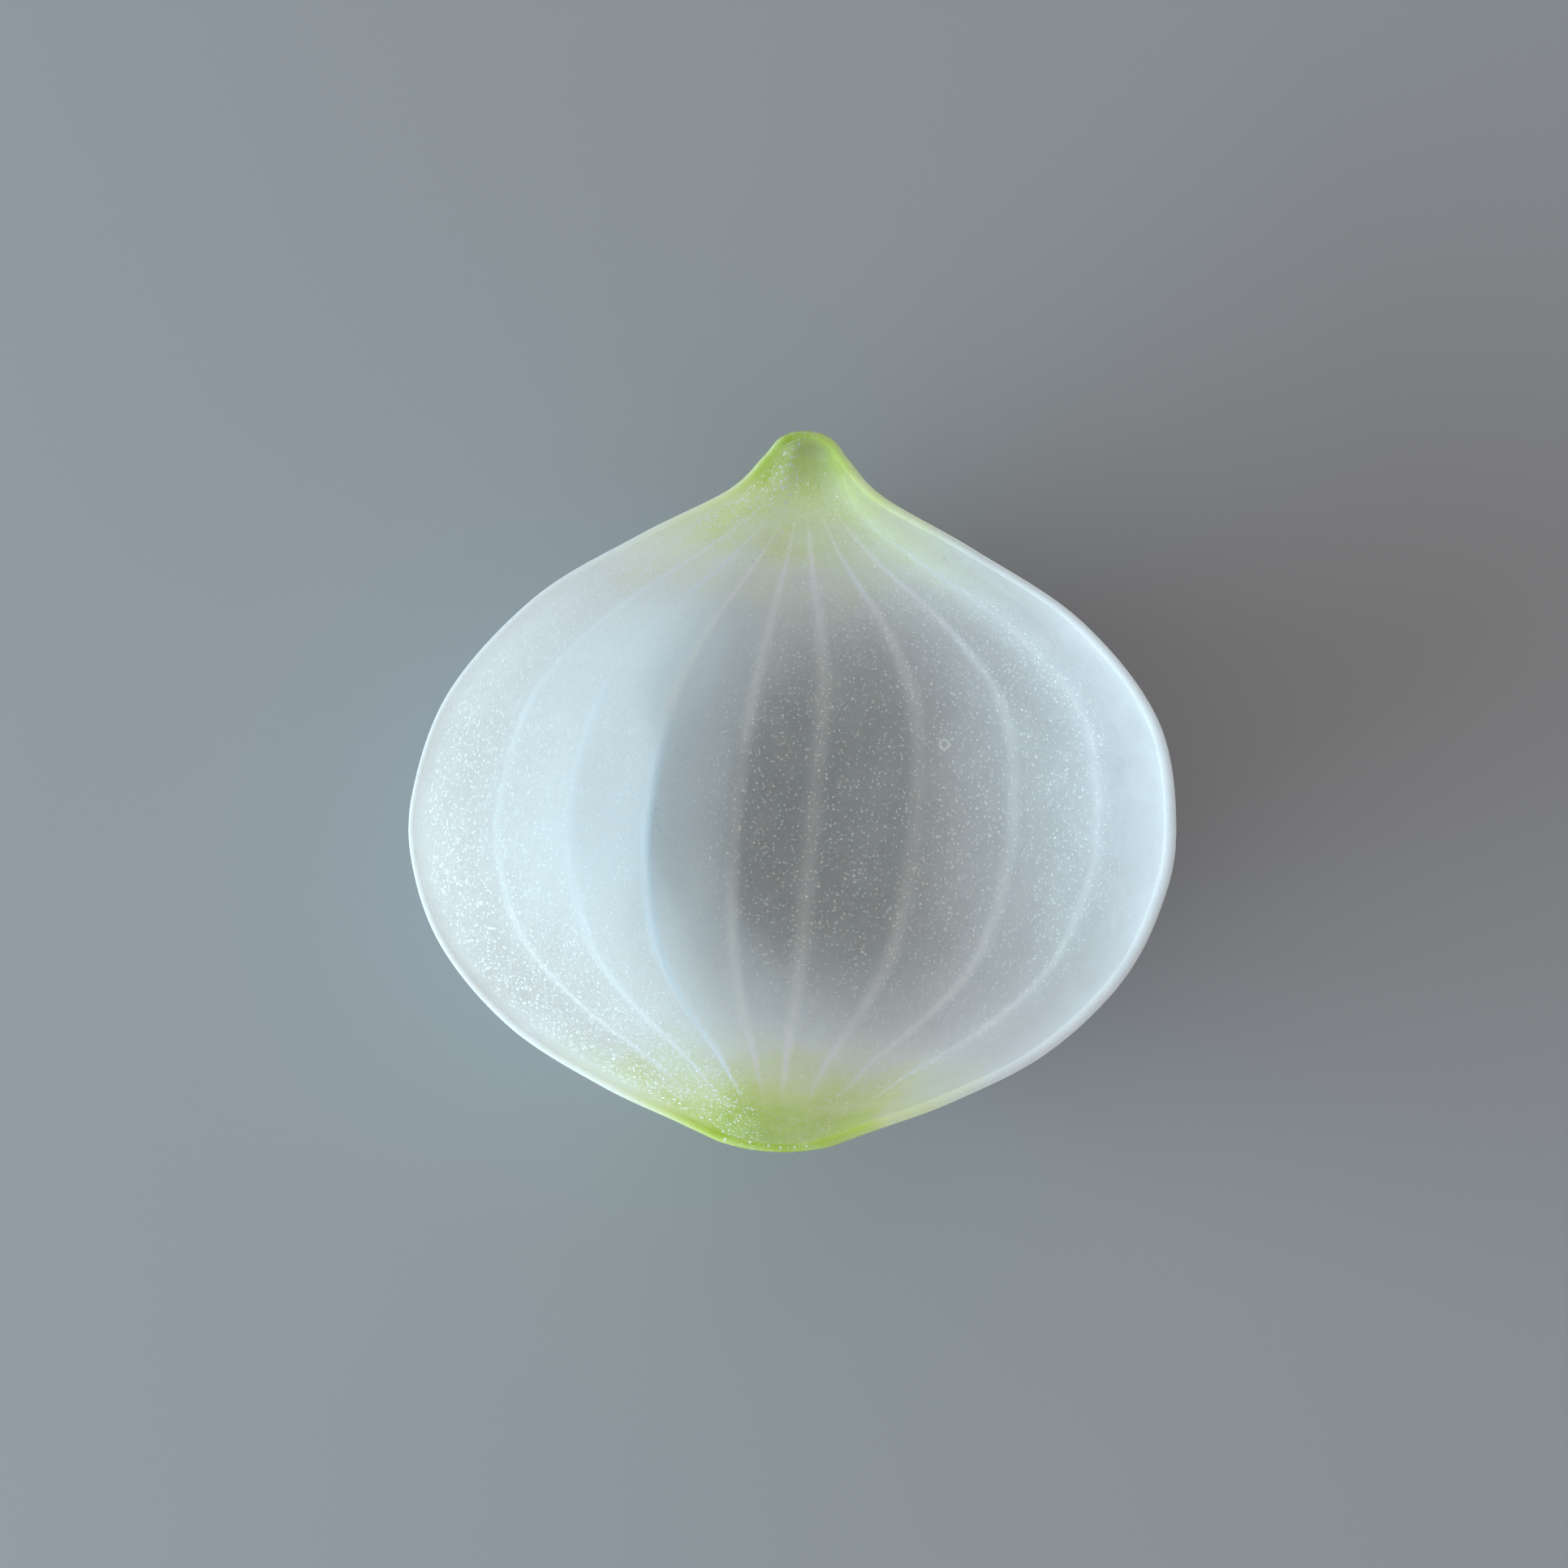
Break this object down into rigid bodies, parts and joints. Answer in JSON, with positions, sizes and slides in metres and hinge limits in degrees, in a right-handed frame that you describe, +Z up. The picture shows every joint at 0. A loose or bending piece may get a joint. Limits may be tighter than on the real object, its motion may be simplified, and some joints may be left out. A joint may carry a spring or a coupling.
{
  "type": "onion layer",
  "caption": "Single hollow layer of an onion bulb, open side up like a shallow bowl, with a drawn-in neck, a broad root end and raised veins from end to end.",
  "frame": {"origin": "bottom centre of the bounding box, on the surface that the layer lies on", "axes": "+Z up out of the open side, +Y from the root end to the neck, +X to the right as seen from above"},
  "size_m": [0.0832, 0.0782, 0.0279],
  "materials": {
    "onion_flesh": "translucent white flesh with a satin, finely speckled surface, yellow-green at the neck and the root end"
  },
  "bodies": {
    "root": {"onion_layer": "onion_flesh"}
  },
  "joints": []
}
